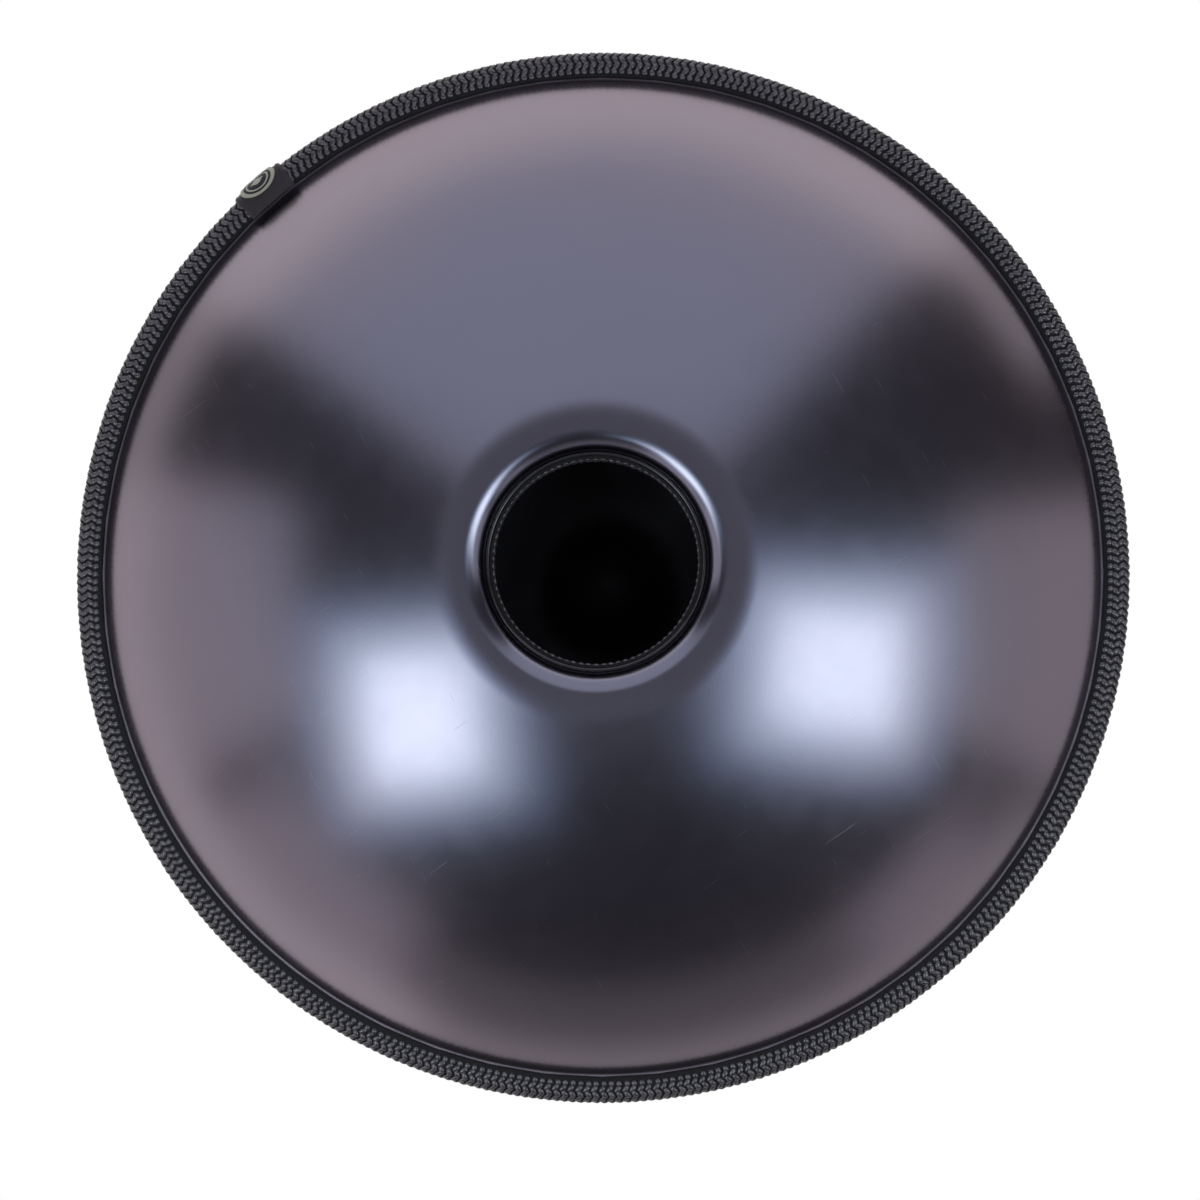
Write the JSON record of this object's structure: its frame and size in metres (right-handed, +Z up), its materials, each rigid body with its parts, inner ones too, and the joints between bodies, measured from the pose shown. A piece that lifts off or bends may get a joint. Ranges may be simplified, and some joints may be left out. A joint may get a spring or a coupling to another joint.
{
  "type": "handpan",
  "caption": "Handpan of formed, glued steel shells with a domed ding, dimpled tone fields, an open round port below and braided black trim on its rim and port.",
  "frame": {"origin": "middle of the port lip's contact ring, on the surface that the handpan rests on", "axes": "+Z up through the ding, as it is played; -Y towards the player, where the largest tone field is; the sleeve on the rim is towards -X and -Y"},
  "size_m": [0.5598, 0.5598, 0.2232],
  "materials": {
    "steel": "satin nitrided steel, dark navy to mauve",
    "braid": "glossy black synthetic cord, braided flat",
    "sleeve": "smooth dark rubber with a light matt sheen",
    "badge": null,
    "glue": "clear dark cured glue"
  },
  "bodies": {
    "root": {"top_shell": "steel", "bottom_shell": "steel", "flange_bond": "glue", "rim_trim_adhesive": "glue", "rim_braid": "braid", "trim_sleeve": "sleeve", "badge": "badge", "port_trim_adhesive": "glue", "port_braid": "braid"}
  },
  "joints": []
}
